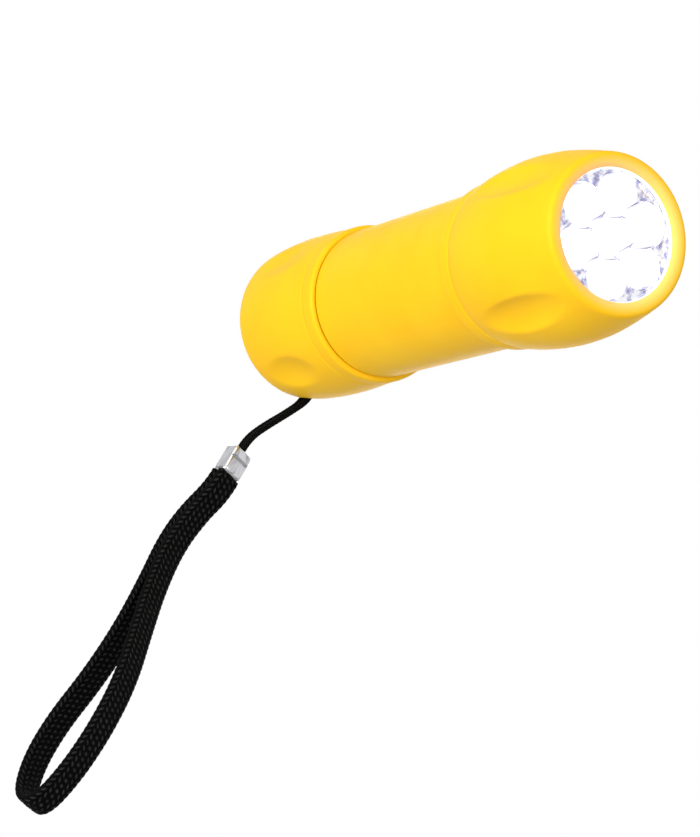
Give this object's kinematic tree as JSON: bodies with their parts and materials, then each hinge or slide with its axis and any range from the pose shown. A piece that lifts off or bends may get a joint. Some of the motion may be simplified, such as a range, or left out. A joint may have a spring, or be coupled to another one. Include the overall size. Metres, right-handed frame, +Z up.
{
  "type": "torch",
  "caption": "Slim hand torch with a soft rubber skin, flared dimpled head and tail, a cluster lamp behind a clear lens, a tail push button and a flat wrist strap.",
  "frame": {"origin": "the middle of the plain grip, on the torch's axis", "axes": "+X along the torch towards the lens, +Z up, so the strap hangs towards -Z from the tail, and +Y to the left seen from behind"},
  "size_m": [0.1092, 0.0335, 0.1241],
  "materials": {
    "yellow_rubber": "smooth soft-touch rubber skin, matte",
    "black_plastic": "moulded hard plastic, fine satin",
    "brass": "stamped and turned brass, bright",
    "nickel_steel": "nickel-plated steel wire and stampings",
    "cell_sleeve": "shrink-wrapped plain sleeve",
    "clear_lens": "clear polished plastic",
    "bright_reflector": "vacuum-metallised, mirror bright",
    "lamp_epoxy": "clear epoxy lamps, lit white",
    "board_green": "lacquered circuit board",
    "resistor_black": "moulded body with tinned ends",
    "black_seal": "soft black rubber",
    "clear_seal": "soft milky silicone",
    "button_rubber": "soft black rubber, matte",
    "black_cord": "thin braided string",
    "black_webbing": "flat braided webbing",
    "crimp_silver": "pressed soft metal clip"
  },
  "bodies": {
    "grip": {"grip_skin": "yellow_rubber", "grip_tube": "black_plastic", "contact_strip": "brass", "cartridge_frame": "black_plastic", "cell_1": "cell_sleeve", "cell_2": "cell_sleeve", "cell_3": "cell_sleeve", "cell_contacts": "nickel_steel", "cell_springs": "nickel_steel", "front_terminal": "brass", "rear_terminal": "brass"},
    "neck_ring": {"neck_seal": "black_seal"},
    "head": {"head_skin": "yellow_rubber", "head_core": "black_plastic", "lens": "clear_lens", "lens_seal": "clear_seal", "reflector": "bright_reflector", "lamps": "lamp_epoxy", "lamp_board": "board_green", "board_resistor": "resistor_black", "board_screws": "nickel_steel", "contact_sleeve": "brass", "front_spring": "nickel_steel"},
    "tail_ring": {"tail_seal": "black_seal"},
    "tail_cap": {"tail_skin": "yellow_rubber", "tail_core": "black_plastic", "lanyard_pin": "nickel_steel", "switch_housing": "black_plastic", "retainer_ring": "brass", "switch_terminal": "brass", "tail_spring": "nickel_steel", "strap_string": "black_cord", "strap_ferrule": "crimp_silver", "strap_webbing": "black_webbing"},
    "button": {"button_cap": "button_rubber", "plunger": "black_plastic", "switch_spring": "nickel_steel"}
  },
  "joints": [
    {"name": "neck_travel", "type": "slide", "parent": "grip", "child": "neck_ring", "axis": [1, 0, 0], "range_m": [0, 0.0045], "deforming": ["front_spring"]},
    {"name": "head_turn", "type": "hinge", "parent": "neck_ring", "child": "head", "pos_m": [0.03, 0, 0], "axis": [1, 0, 0], "range_deg": [0, 1080]},
    {"name": "tail_travel", "type": "slide", "parent": "grip", "child": "tail_ring", "axis": [-1, 0, 0], "range_m": [0, 0.0045], "deforming": ["tail_spring"]},
    {"name": "tail_turn", "type": "hinge", "parent": "tail_ring", "child": "tail_cap", "pos_m": [-0.03, 0, 0], "axis": [-1, 0, 0], "range_deg": [0, 1080]},
    {"name": "button_press", "type": "slide", "parent": "tail_cap", "child": "button", "axis": [1, 0, 0], "range_m": [0, 0.0016], "stiffness_N_per_m": 900, "springref_m": -0.001, "deforming": ["switch_spring"]}
  ],
  "couplings": [
    {"joint": "head_turn", "follows": "neck_travel", "rad_per_m": 4188.8},
    {"joint": "tail_turn", "follows": "tail_travel", "rad_per_m": 4188.8}
  ]
}
